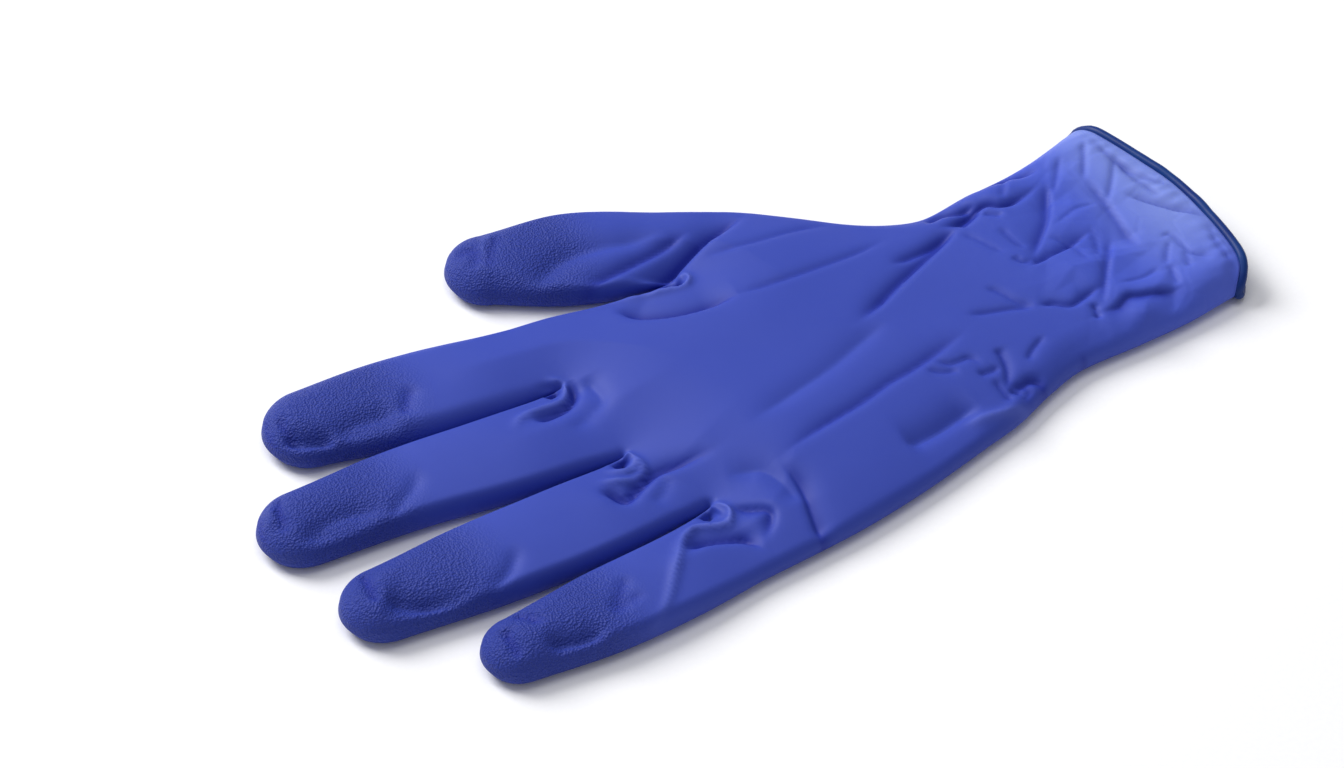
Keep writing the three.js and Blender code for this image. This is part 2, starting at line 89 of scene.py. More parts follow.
TABLE_REACH = 3.0
PAPER_GRAINS_PER_METRE = 900.0
table_mesh = bpy.data.meshes.new("table_top")
table_mesh.from_pydata([(-TABLE_REACH, -TABLE_REACH, 0.0), (TABLE_REACH, -TABLE_REACH, 0.0),
                        (TABLE_REACH, TABLE_REACH, 0.0), (-TABLE_REACH, TABLE_REACH, 0.0)],
                       [], [(0, 1, 2, 3)])
table = bpy.data.objects.new("table_top", table_mesh)
bpy.context.scene.collection.objects.link(table)
paper, tree = new_material("matt_white_paper")
coords = node(tree, "ShaderNodeTexCoord")
grain = node(tree, "ShaderNodeTexNoise", values={"Scale": PAPER_GRAINS_PER_METRE, "Detail": 3.0},
             links={"Vector": coords.outputs["Object"]})
tint = node(tree, "ShaderNodeMix", {"data_type": "RGBA"},
            {"A": linear("#F9F9FB"), "B": linear("#FEFEFE")}, {"Factor": grain.outputs["Fac"]})
paper_shader = node(tree, "ShaderNodeBsdfPrincipled",
                    values={"Roughness": 0.9, "Specular IOR Level": 0.2},
                    links={"Base Color": tint.outputs["Result"]})
node(tree, "ShaderNodeOutputMaterial", links={"Surface": paper_shader.outputs["BSDF"]})
table_mesh.materials.append(paper)


# The studio light: a large soft box high on the far left of the glove, a weaker one overhead,
# and an even white surround that fills the shadows. The large one stands far off, so that the
# table stays evenly white, and low enough to draw every crease with a lit and a shaded side.
def soft_box(name, place, size, power):
    """A square area light, turned to face the glove: place and size in metres, power in watts."""
    data = bpy.data.lights.new(name, "AREA")
    data.shape = "SQUARE"
    data.size = size
    data.energy = power
    lamp = bpy.data.objects.new(name, data)
    lamp.location = place
    flat = math.hypot(place[0], place[1])
    lamp.rotation_euler = (math.atan2(flat, place[2]), 0.0, math.atan2(place[0], -place[1]))
    bpy.context.scene.collection.objects.link(lamp)


soft_box("far_left_soft_box", (-0.80, 1.60, 1.55), 1.3, 56.0)
soft_box("overhead_soft_box", (0.05, 0.10, 1.20), 0.7, 3.0)
world = bpy.data.worlds.new("white_surround")
world.use_nodes = True
world.node_tree.nodes["Background"].inputs["Color"].default_value = linear("#F6F7FF")
world.node_tree.nodes["Background"].inputs["Strength"].default_value = 0.35
bpy.context.scene.world = world
bpy.context.scene.view_settings.view_transform = "Standard"

# The glove film: one thin nitrile skin, dipped on a hand former and stripped off, so it has no
# seam. It lies as it was dropped, with a little air inside and its crotches puckered. Its plan is
# laid out in millimetres as the hand is: rows across the palm, strips for fingers and thumb.

# Lengths along the hand and widths across it.
BODY_LENGTH = 155.0
FINGER_LENGTH = 79.5
THUMB_LENGTH = 54.0
CUFF_BOW = 6.8
PALM_WIDTH = 93.0
WRIST_WIDTH = 62.0
CUFF_WIDTH = 67.0
THUMB_WIDTH = 27.8
FINGER_GAP = 0.8
# The height of the line where the upper film turns under, how far in from there it meets the
# table, and the way over which it lifts to the rolled bead. The film is drawn thicker than the
# real tenth of a millimetre, so that its edge and its hollow hold together.
SIDE_FOLD = 2.8
UNDER_TURN = 4.0
BEAD_DIAMETER = 2.4
BEAD_RISE = 14.0
FILM = 0.5
# The middle of the glove in its own plan, and the places on the little finger's side that lie
# opposite the two ends of the thumb's root, as shares of BODY_LENGTH.
PART_MIDDLE = np.array([-113.36, 0.51])
WEB_LEVEL = 0.215
HEEL_LEVEL = 0.370
# Crotches from the little finger's outer side to the index's: share along, share across.
KNUCKLES = [(0.095, -0.652), (0.085, -0.402), (0.020, -0.160), (0.000, 0.118), (-0.015, 0.367)]
# The sides of the hand: share of BODY_LENGTH towards the cuff, millimetres across.
LITTLE_SIDE = np.array([
    (0.095, -0.652 * PALM_WIDTH), (0.240, -0.625 * PALM_WIDTH), (0.325, -0.600 * PALM_WIDTH),
    (0.410, -0.567 * PALM_WIDTH), (0.510, -0.520 * PALM_WIDTH), (0.575, -0.489 * PALM_WIDTH),
    (0.645, -0.438 * PALM_WIDTH), (0.715, -0.600 * WRIST_WIDTH), (0.820, -0.585 * WRIST_WIDTH),
    (0.915, -0.566 * WRIST_WIDTH), (1.005, -0.490 * CUFF_WIDTH)])
INDEX_SIDE = np.array([
    (-0.015, 0.367 * PALM_WIDTH), (0.050, 0.360 * PALM_WIDTH), (0.132, 0.338 * PALM_WIDTH),
    (0.200, 0.330 * PALM_WIDTH), (0.255, 0.336 * PALM_WIDTH)])
THUMB_SIDE = np.array([
    (0.316, 0.573 * PALM_WIDTH), (0.365, 0.533 * PALM_WIDTH), (0.420, 0.483 * PALM_WIDTH),
    (0.482, 0.408 * PALM_WIDTH), (0.557, 0.313 * PALM_WIDTH), (0.610, 0.263 * PALM_WIDTH),
    (0.657, 0.362 * WRIST_WIDTH), (0.737, 0.394 * WRIST_WIDTH), (0.857, 0.438 * WRIST_WIDTH),
    (0.970, 0.490 * CUFF_WIDTH)])
# The rim between its corners: share across, share of CUFF_BOW.
RIM_LINE = np.array([(0.00, 0.00), (0.06, 0.52), (0.16, 0.80), (0.35, 0.98), (0.52, 1.00),
                     (0.68, 0.76), (0.84, 0.48), (0.94, 0.26), (1.00, 0.00)])
# A finger: share of FINGER_LENGTH, depth of its round tip as a share of its width, and its two
# sides at three places along it as shares of PALM_WIDTH.
FINGERS = [
    (0.632, 0.52, [(0.30, -0.680, -0.440), (0.65, -0.695, -0.464), (1.00, -0.683, -0.497)]),
    (0.908, 0.52, [(0.30, -0.440, -0.178), (0.65, -0.449, -0.192), (1.00, -0.434, -0.215)]),
    (1.000, 0.50, [(0.30, -0.166, 0.106), (0.65, -0.140, 0.112), (1.00, -0.134, 0.098)]),
    (0.838, 0.50, [(0.30, 0.108, 0.388), (0.65, 0.118, 0.406), (1.00, 0.158, 0.400)]),
]
# The thumb: its lean off the line of the fingers, the share of it that its round tip takes, and
# its half widths at three places as shares of THUMB_WIDTH.
THUMB_LEAN = math.radians(14.0)
THUMB_TIP = 0.18
THUMB_SECTIONS = [(0.26, 0.476, 0.512), (0.52, 0.440, 0.552), (0.82, 0.290, 0.470)]
# Height of the upper film: share from the middle fingertip to the cuff, millimetres.
CROWN = np.array([(0.00, 9.4), (0.20, 9.2), (0.36, 9.0), (0.50, 9.8), (0.72, 9.2), (0.85, 9.4),
                  (1.00, 9.6)])
# Mesh steps; all are even, because the unseen layers use every second row and column.
FINGER_COLUMNS = 36
ROOT_ROWS = 56
THUMB_ROWS = 36
CUFF_ROWS = 150
ROW_STEP = 0.85
EDGE_COLUMNS = 10
EDGE_BAND = 0.055
TIP_STEPS = np.array([5.2, 4.4, 3.6, 2.9, 2.2, 1.6, 1.1, 0.7, 0.35, 0.0])


def mix(a, b, t):
    return a + (b - a) * t


def ease(t):
    s = np.clip(t, 0.0, 1.0)
    return s * s * (3.0 - 2.0 * s)


def read(table, at):
    """A smooth line through a table's rows, read at one or more places."""
    table = np.asarray(table, float)
    x, y = table[:, 0], table[:, 1]
    at = np.atleast_1d(np.asarray(at, float))
    i = np.clip(np.searchsorted(x, at, side="left") - 1, 0, len(x) - 2)
    span = x[i + 1] - x[i]
    t = np.clip((at - x[i]) / span, 0.0, 1.0)

    def slope(k):
        low = np.maximum(k - 1, 0)
        high = np.minimum(k + 1, len(x) - 1)
        return (y[high] - y[low]) / (x[high] - x[low]) * span

    return (y[i] * (2 * t ** 3 - 3 * t ** 2 + 1) + slope(i) * (t ** 3 - 2 * t ** 2 + t)
            + y[i + 1] * (3 * t ** 2 - 2 * t ** 3) + slope(i + 1) * (t ** 3 - t ** 2))


def on_side(side, at):
    return np.array([-BODY_LENGTH * (1 - at), read(side, at)[0]])


def crotch(k):
    return np.array([-BODY_LENGTH * (1 - KNUCKLES[k][0]), KNUCKLES[k][1] * PALM_WIDTH])


def crowded(count):
    """Shares across a strip, closer together at both edges, where the film turns under."""
    return (1 - np.cos(np.pi * np.arange(count + 1) / count)) / 2


COLUMNS = FINGER_COLUMNS * len(FINGERS)
ROWS = ROOT_ROWS + THUMB_ROWS + CUFF_ROWS
thumb_crotch = on_side(INDEX_SIDE, INDEX_SIDE[-1, 0])
thumb_heel = on_side(THUMB_SIDE, THUMB_SIDE[0, 0])


def root_row(i):
    """How far a row lies from the knuckle line to the thumb's crotch; closer rows come first."""
    return min(i / ROOT_ROWS, 1.0) ** 1.3


def row_ends(i):
    if i <= ROOT_ROWS:
        t = root_row(i)
        return (on_side(LITTLE_SIDE, mix(LITTLE_SIDE[0, 0], WEB_LEVEL, t)),
                on_side(INDEX_SIDE, mix(INDEX_SIDE[0, 0], INDEX_SIDE[-1, 0], t)))
    if i <= ROOT_ROWS + THUMB_ROWS:
        t = (i - ROOT_ROWS) / THUMB_ROWS
        return (on_side(LITTLE_SIDE, mix(WEB_LEVEL, HEEL_LEVEL, t)),
                mix(thumb_crotch, thumb_heel, t))
    t = (i - ROOT_ROWS - THUMB_ROWS) / CUFF_ROWS
    return (on_side(LITTLE_SIDE, mix(HEEL_LEVEL, LITTLE_SIDE[-1, 0], t)),
            on_side(THUMB_SIDE, mix(THUMB_SIDE[0, 0], THUMB_SIDE[-1, 0], t)))


def palm_shares(far_edge):
    """Shares across the palm: close columns at the near edge, and at the far one if it is one."""
    k = np.arange(EDGE_COLUMNS + 1) / EDGE_COLUMNS
    plain = EDGE_COLUMNS / COLUMNS
    near = EDGE_BAND * k ** 2
    far = mix(plain, EDGE_BAND, far_edge) * k ** (1 + far_edge)
    between = np.linspace(near[-1], 1 - far[-1], COLUMNS - 2 * EDGE_COLUMNS + 1)
    return np.concatenate([near[:-1], between, (1 - far[::-1])[1:]])


knuckle_row = np.array([
    mix(crotch(k), crotch(k + 1), crowded(FINGER_COLUMNS)[j])
    for k in range(len(FINGERS)) for j in range(FINGER_COLUMNS)] + [crotch(len(FINGERS))])
root_near, root_far = row_ends(0)
root_share = (knuckle_row[:, 1] - root_near[1]) / (root_far[1] - root_near[1])
hand_plan = []
for i in range(ROWS + 1):
    near, far = row_ends(i)
    beside = abs(i - ROOT_ROWS - THUMB_ROWS / 2) / (THUMB_ROWS / 2)
    share = mix(root_share, palm_shares(ease(beside - 1)), ease(i / (ROOT_ROWS + THUMB_ROWS)))
    row = mix(near, far, share[:, None])
    straight = mix(root_near, root_far, root_share[:, None])
    row += (knuckle_row - straight) * (1 - root_row(i)) ** 1.5
    rim = max((i - ROOT_ROWS - THUMB_ROWS) / CUFF_ROWS, 0) ** 3
    row[:, 0] += CUFF_BOW * rim * read(RIM_LINE, share)
    hand_plan.append(row)


def row_places(length):
    """Even steps along a strip, then ever shorter ones where its tip turns under."""
    even = length - TIP_STEPS[0]
    count = int(round(even / ROW_STEP))
    count += (count + len(TIP_STEPS) - 1) % 2
    return np.concatenate([even * np.arange(count) / count, length - TIP_STEPS]) / length


def finger_plan(k):
    reach, round_share, sections = FINGERS[k]
    root_a, root_b = crotch(k), crotch(k + 1)
    depth = ((sections[-1][2] - sections[-1][1]) * PALM_WIDTH - FINGER_GAP) * round_share
    end = -BODY_LENGTH - reach * FINGER_LENGTH + depth
    length = abs(end - (root_a[0] + root_b[0]) / 2)
    near = [(0, root_a[1])] + [(s[0], s[1] * PALM_WIDTH) for s in sections]
    far = [(0, root_b[1])] + [(s[0], s[2] * PALM_WIDTH) for s in sections]
    f = crowded(FINGER_COLUMNS)
    rows = []
    for at in row_places(length):
        bulge = depth * at ** 3 * np.sqrt(np.maximum(1 - (2 * f - 1) ** 2, 0))
        there = np.minimum(at + bulge / length, 1.0)
        gap = FINGER_GAP / 2 * ease(there / 0.12)
        a = read(near, there) + (gap if k > 0 else 0)
        b = read(far, there) - (gap if k < len(FINGERS) - 1 else 0)
        rows.append(np.column_stack([mix(mix(root_a[0], root_b[0], f), end, at) - bulge,
                                     mix(a, b, f)]))
    return rows


def thumb_plan():
    axis = np.array([-math.cos(THUMB_LEAN), math.sin(THUMB_LEAN)])
    out = np.array([math.sin(THUMB_LEAN), math.cos(THUMB_LEAN)])
    root = (thumb_crotch + thumb_heel) / 2
    in_ahead, in_side = (thumb_crotch - root) @ axis, (thumb_crotch - root) @ out
    out_ahead, out_side = (thumb_heel - root) @ axis, (thumb_heel - root) @ out
    inside = [(0, in_side)] + [(s[0], -s[1] * THUMB_WIDTH) for s in THUMB_SECTIONS]
    outside = [(0, out_side)] + [(s[0], s[2] * THUMB_WIDTH) for s in THUMB_SECTIONS]
    f = crowded(THUMB_ROWS)
    rows = []
    for at in row_places(THUMB_LENGTH * (1 - THUMB_TIP)):
        even = mix(np.arange(THUMB_ROWS + 1) / THUMB_ROWS, f, ease(at / 0.5))
        bulge = THUMB_TIP * at ** 3 * np.sqrt(np.maximum(1 - (2 * f - 1) ** 2, 0))
        there = np.minimum(at * (1 - THUMB_TIP) + bulge, 1 - THUMB_TIP)
        side = mix(read(inside, there), read(outside, there), even)
        ahead = (mix(in_ahead, out_ahead, even) * (1 - at)
                 + THUMB_LENGTH * (at * (1 - THUMB_TIP) + bulge))
        rows.append(root + np.outer(ahead, axis) + np.outer(side, out))
    return rows


# One list of plan points for the whole film. The strips of the fingers start from the first row
# of the hand, and the thumb's from its side. Each has its own breadth of bend along its side,
# in millimetres, which it takes on over the first stretch of the strip.
PALM_TURN = 2.4
DIGIT_TURNS = [2.6, 2.4, 2.4, 4.0, 2.4]
TURN_FADE = 12.0
plan, digit_way, side_turn = [], [], []


def add_points(xy, way, turn):
    start = len(plan)
    plan.extend(xy)
    digit_way.extend([way] * len(xy))
    side_turn.extend([turn] * len(xy))
    return np.arange(start, start + len(xy))


hand = np.array([add_points(row, 0.0, PALM_TURN) for row in hand_plan])
strips = []
for k in range(len(FINGERS) + 1):
    if k < len(FINGERS):
        rows = finger_plan(k)
        ids = [hand[0, k * FINGER_COLUMNS:(k + 1) * FINGER_COLUMNS + 1]]
    else:
        rows = thumb_plan()
        ids = [hand[ROOT_ROWS:ROOT_ROWS + THUMB_ROWS + 1, -1]]
    for row in rows[1:]:
        way = np.hypot(*(row.mean(0) - rows[0].mean(0)))
        ids.append(add_points(row, way, mix(PALM_TURN, DIGIT_TURNS[k], ease(way / TURN_FADE))))
    strips.append(np.array(ids))
grids = [hand] + strips
plan = np.array(plan)
digit_way = np.array(digit_way)
side_turn = np.array(side_turn)
spot = plan - PART_MIDDLE

# The outline, where the upper film turns under to become the lower one.
outline_runs = [hand[:, 0], hand[:ROOT_ROWS + 1, -1], hand[ROOT_ROWS + THUMB_ROWS:, -1]]
for ids in strips:
    outline_runs += [ids[:, 0], ids[:, -1], ids[-1, :]]
on_outline = np.zeros(len(plan), bool)
for run in outline_runs:
    on_outline[run] = True


def distance_to(line, places):
    """Least distance of every place to a line of points, the share along the line at which
    it is reached, and whether the place lies on the line's left (positive) or right."""
    best = np.full(len(places), 1e9)
    along = np.zeros(len(places))
    hand_side = np.ones(len(places))
    for k in range(len(line) - 1):
        a, d = line[k], line[k + 1] - line[k]
        gone = places - a
        t = np.clip(gone @ d / max(d @ d, 1e-12), 0.0, 1.0)
        far = np.hypot(gone[:, 0] - d[0] * t, gone[:, 1] - d[1] * t)
        closer = far < best
        best[closer] = far[closer]
        along[closer] = (k + t[closer]) / (len(line) - 1)
        hand_side[closer] = np.sign(d[0] * gone[closer, 1] - d[1] * gone[closer, 0])
    return best, along, hand_side


inset = np.full(len(plan), 1e9)
for run in outline_runs:
    inset = np.minimum(inset, distance_to(spot[run], spot)[0])
inset[on_outline] = 0.0

# The upper film climbs quickly from its side fold and goes on as a low dome. The fingers are
# flatter on top and steeper at their sides, and the fingertips and the cuff are rounder. The
# reaches are in millimetres; the climbs are the share of the height that the side's bend takes.
ROUND_REACH = 8.0
PALM_DOME = 30.0
DIGIT_DOME = 11.0
PALM_CLIMB = 0.36
DIGIT_CLIMB = 0.76
ROUND_CLIMB = 0.92
DIGIT_HEIGHT = 0.84
# Where these forms set in, in millimetres: a finger's over its first stretch, a round tip's by
# the way left to the tip, and the round cuff's by the place along the glove.
DIGIT_FADE = 25.0
TIP_START = 6.0
TIP_FADE = 22.0
CUFF_START = 40.0
CUFF_FADE = 24.0
webs = [crotch(k) - PART_MIDDLE for k in (1, 2, 3)] + [thumb_crotch - PART_MIDDLE]
to_web = np.min([np.hypot(*(spot - w).T) for w in webs], axis=0)
to_tip = np.full(len(spot), 1e9)
for ids in strips:
    to_tip[ids] = np.hypot(*(spot[ids] - spot[ids[-1]].mean(0)).transpose(2, 0, 1))
digit = ease(digit_way / DIGIT_FADE)
tip_round = 1 - ease((to_tip - TIP_START) / TIP_FADE)
cuff_round = ease((spot[:, 0] - CUFF_START) / CUFF_FADE)
edge_reach = mix(side_turn, ROUND_REACH, np.maximum(tip_round, cuff_round))
edge_share = mix(mix(PALM_CLIMB, DIGIT_CLIMB, digit), ROUND_CLIMB,
                 np.maximum(tip_round, 0.8 * cuff_round))
dome_reach = mix(PALM_DOME, DIGIT_DOME, digit)


def rounded(d, reach):
    return np.sqrt(1 - (1 - np.minimum(d / reach, 1)) ** 2)


whole = (plan[:, 0] + BODY_LENGTH + FINGER_LENGTH) / (BODY_LENGTH + FINGER_LENGTH)
climb = (read(CROWN, whole) - SIDE_FOLD) * mix(1.0, DIGIT_HEIGHT, digit * (1 - tip_round))
dome = 1 - (1 - np.minimum(inset / dome_reach, 1)) ** 2
upper = SIDE_FOLD + climb * (edge_share * rounded(inset, edge_reach) + (1 - edge_share) * dome)
bead_lift = (BEAD_DIAMETER - FILM) / 2 * ease((plan[:, 0] + BEAD_RISE) / BEAD_RISE)
lower = bead_lift + (SIDE_FOLD - bead_lift) * (1 - rounded(inset, UNDER_TURN))

# Creases of the upper film, in millimetres: rise (a valley is negative), breadth on the left of
# the line's direction, breadth on the right, and the line. A pleat is steep on one side. At the
# crotches a ridge stands for the curled lip of the film, and a dent for the pocket behind it.
THUMB_CREASES = [
    (-4.4, 4.0, 0.9, [(-13.5, 28), (-9.5, 29), (-5, 30.5), (0.5, 33), (7.5, 36), (14.5, 38.5),
                      (21.5, 41)]),
    (-1.8, 3.0, 1.1, [(-26.5, 34), (-17.5, 36), (-8, 38), (1, 40), (8, 42)]),
    (-2.6, 3.8, 3.0, [(-35, 39), (-28, 44.5), (-22, 46.5), (-15, 46), (-6, 44.5),
                      (2.5, 44.5)]),
    (-1.0, 1.2, 2.2, [(-46.5, 56.5), (-43.5, 58.5), (-41.5, 58), (-41.5, 54.5), (-44, 50)]),
    (1.0, 1.0, 1.2, [(-35, 61.5), (-39, 56.5), (-43.5, 49)]),
    (-0.9, 1.0, 3.0, [(-33.5, 60), (-37.5, 55.5), (-41, 49.5)]),
]
CROTCH_CREASES = [
    (1.4, 0.8, 1.0, [(-21.5, 30), (-14.5, 28.5), (-7.5, 26.5), (-2.5, 25.5), (0, 26.5), (0, 29),
                     (-3, 29.5)]),
    (-3.5, 1.6, 1.0, [(-5, 29.5), (-3.5, 27.5), (-1, 27.5)]),
    (-2.6, 4.5, 1.0, [(-19.5, 26), (-16.5, 21.5), (-12, 18.5), (-6.5, 16.5), (0, 15.5), (7, 15)]),
    (-0.8, 1.3, 0.8, [(7, 15), (15, 14.5), (23, 14.5), (37.5, 15.5), (48, 17.5)]),
    (-0.6, 1.2, 0.8, [(7, 31.5), (13.5, 30.5), (19.5, 30), (31.5, 30), (39.5, 29)]),
    (-4.0, 1.3, 1.3, [(-46.5, 9), (-44.5, 9.5), (-42.5, 10)]),
    (1.4, 0.8, 0.8, [(-44, 13), (-41.5, 11.5), (-41, 9), (-42, 6.5), (-44.5, 4.5), (-50.5, 4),
                     (-55, 3), (-58, 0)]),
    (-2.4, 1.0, 1.7, [(-39, 10.5), (-40, 6), (-43.5, 2.5), (-49, 1), (-53, 1)]),
    (-1.3, 2.0, 3.0, [(-36, 9.5), (-35.5, 5.5), (-36, 0), (-41, -3), (-46.5, -5.5)]),
    (-3.5, 1.2, 1.2, [(-42.5, -18.5), (-40, -18), (-38.5, -16.5)]),
    (1.3, 0.7, 0.7, [(-39.5, -15.5), (-38, -16), (-37.5, -19), (-39, -21), (-41.5, -21.5),
                     (-45, -19.5)]),
    (1.3, 0.7, 0.7, [(-37, -17), (-36.5, -21), (-37.5, -23.5), (-40.5, -25), (-44, -24),
                     (-47.5, -22.5)]),
    (-3.2, 2.8, 1.1, [(-49, -25), (-47, -27.5), (-45, -30), (-40, -27.5), (-35.5, -25.5),
                      (-30, -25.5), (-21, -26)]),
    (-0.8, 1.5, 1.5, [(-40, -34), (-36, -31), (-33.5, -27.5)]),
    (-4.0, 1.5, 1.5, [(-32.5, -41.5), (-30, -40.5), (-28, -40)]),
    (1.4, 0.8, 0.8, [(-29, -38), (-27, -39.5), (-26, -43), (-28, -46), (-31, -45.5), (-34.5, -44),
                     (-37, -44.5), (-39.5, -46.5), (-43.5, -52), (-51, -61.5), (-57, -65.5)]),
    (-2.9, 3.0, 1.0, [(-41, -49.5), (-36.5, -49), (-34, -49.5), (-30.5, -50.5), (-27, -52),
                      (-24.5, -55.5)]),
    (-1.6, 0.9, 2.0, [(-25.5, -42), (-22, -44.5), (-18.5, -47), (-19, -49.5), (-23, -54)]),
]
PALM_CREASES = [
    (-2.0, 2.4, 0.8, [(27.5, -6), (35, -2.5), (42.5, 1.5), (50, 5), (57.5, 8.5), (64, 11.5)]),
    (-1.5, 2.0, 1.0, [(44, 8), (51.5, 9), (57.5, 10), (64, 12)]),
    (-1.2, 3.0, 2.0, [(-10.5, -23.5), (1.5, -20), (14.5, -16), (24.5, -12), (33, -9)]),
    (-1.4, 2.8, 1.0, [(-9.5, -35.5), (2.5, -32), (15, -29), (24.5, -26), (30, -25), (39.5, -22.5),
                      (47.5, -20)]),
    (-2.2, 3.5, 2.0, [(18, -44), (22, -43.5), (28, -42.5), (34, -41), (39.5, -40)]),
    (-1.5, 2.8, 0.9, [(-9.5, -37.5), (-9, -44.5), (-10.5, -52.5), (-11.5, -58.5), (-11, -63.5)]),
    (-1.3, 3.0, 3.0, [(-22, -33.5), (-14.5, -36), (-12, -43), (-12, -49)]),
]
HEEL_CREASES = [
    (-0.9, 0.9, 0.9, [(37, -24.5), (39, -27), (42, -27.5), (44.5, -27.5), (46, -30.5)]),
    (-0.8, 0.9, 0.9, [(33.5, -26.5), (37, -29), (40.5, -29.5)]),
    (-1.0, 1.0, 1.0, [(43.5, -32.5), (46.5, -33), (49.5, -32.5)]),
    (-1.2, 1.2, 0.8, [(51.5, -27.5), (51.5, -30), (50.5, -34), (47.5, -39.5)]),
    (-1.9, 1.3, 1.6, [(49, -38), (51.5, -39), (54, -38.5), (56, -40), (56, -44)]),
    (-1.2, 0.9, 0.9, [(48, -39), (50.5, -41)]),
    (-1.0, 0.8, 1.2, [(49.5, -43), (53.5, -40.5)]),
    (-0.9, 0.9, 0.9, [(46.5, -35), (46.5, -39), (47, -42.5)]),
    (1.2, 1.2, 1.6, [(33.5, -44), (39, -44), (44, -44.5), (47.5, -44.5), (52, -45.5)]),
    (-0.8, 0.7, 1.0, [(56, -34), (59, -31.5), (63.5, -29)]),
    (-1.0, 0.9, 1.3, [(70, -36), (69.5, -38.5), (68.5, -41)]),
]
WRIST_CREASES = [
    (-0.9, 1.2, 0.8, [(51, -15.5), (56.5, -17), (62, -18.5), (66.5, -20.5)]),
    (-1.4, 1.3, 0.8, [(67.5, -20.5), (70.5, -21), (74.5, -23.5), (79, -22.5), (84, -21.5)]),
    (-0.7, 1.0, 0.8, [(59.5, -9.5), (61.5, -12.5), (63.5, -17), (66.5, -20)]),
    (-0.5, 0.9, 0.8, [(64, 10), (67, 3.5), (69, -2)]),
    (-0.7, 0.9, 0.8, [(73, 7), (73.5, 2), (74.5, -2.5)]),
    (-1.8, 1.6, 1.0, [(59, 17.5), (63.5, 18.5), (68.5, 17), (72.5, 17.5)]),
    (-2.2, 1.8, 0.9, [(61, 14.5), (65.5, 13.5), (70.5, 15), (74.5, 15.5), (77.5, 13.5), (82, 13.5),
                      (89.5, 15.5)]),
    (-1.6, 1.2, 0.9, [(65, 11.5), (68.5, 13), (72, 14.5)]),
    (-0.8, 0.9, 0.8, [(72, 13), (76, 10)]),
    (-1.7, 2.4, 1.0, [(74, 23.5), (78.5, 22.5), (84, 22), (87.5, 21), (93, 21)]),
    (-0.7, 0.8, 1.4, [(84.5, 23.5), (81.5, 19), (79, 15.5)]),
]
CUFF_CREASES = [
    (-1.6, 0.5, 3.2, [(92, 16), (88.5, 10), (84.5, 4), (79.5, -1), (74.5, -6)]),
    (-1.6, 2.4, 0.5, [(72.5, -8.5), (77, -7.5), (83, -6.5), (92, -4)]),
    (-1.0, 0.6, 0.8, [(70.5, -3.5), (71.5, -6), (73.5, -7)]),
    (-0.8, 0.6, 0.8, [(99.5, 22.5), (95, 16.5), (90.5, 11)]),
    (-0.9, 0.6, 0.8, [(107.5, 24.5), (104, 18.5), (99.5, 11.5)]),
    (-1.1, 0.5, 2.4, [(100.5, 12.5), (100.5, 5.5), (100, -1), (99, -8.5), (99, -15)]),
    (-0.8, 0.6, 0.8, [(110.5, 15.5), (106, 9), (100, 2)]),
    (-0.9, 0.6, 1.4, [(109, 25.5), (110, 16.5), (111.5, 11.5), (114, 4.5), (117.5, -1)]),
    (-0.9, 0.6, 1.4, [(111, 16.5), (111, 9), (112, 3), (113, -2)]),
    (-1.1, 2.4, 0.5, [(105.5, 3.5), (109.5, -2.5), (114, -8), (119, -13.5)]),
    (-1.2, 0.5, 1.6, [(94.5, -8.5), (89, -16), (81, -26.5)]),
    (-1.2, 0.6, 0.8, [(79.5, -25), (78, -30)]),
    (-1.8, 0.8, 5.0, [(79.5, -28.5), (84, -28.5), (87.5, -27), (91, -28), (96.5, -29),
                      (101.5, -30)]),
    (-0.8, 0.6, 0.8, [(104.5, -14.5), (107.5, -14), (108, -19), (109, -22.5), (113, -25.5)]),
    (-0.7, 0.6, 0.8, [(106, -16), (101, -22.5)]),
    (-0.7, 0.6, 0.8, [(102, -22.5), (100.5, -29)]),
    (-0.8, 0.6, 0.8, [(117.5, -15.5), (115.5, -22), (115.5, -31)]),
    (-0.6, 0.6, 0.8, [(107.5, -20.5), (105.5, -26)]),
    (-0.6, 0.6, 0.8, [(92.5, -2.5), (90.5, -9), (88, -13)]),
    (-0.6, 0.6, 0.8, [(82, -1), (85, -6), (85, -14)]),
    (-0.5, 0.6, 0.8, [(85.5, 1.5), (91.5, 3.5), (98.5, 4)]),
    (-0.5, 0.6, 0.8, [(88, -23), (94.5, -23.5), (99.5, -22)]),
]
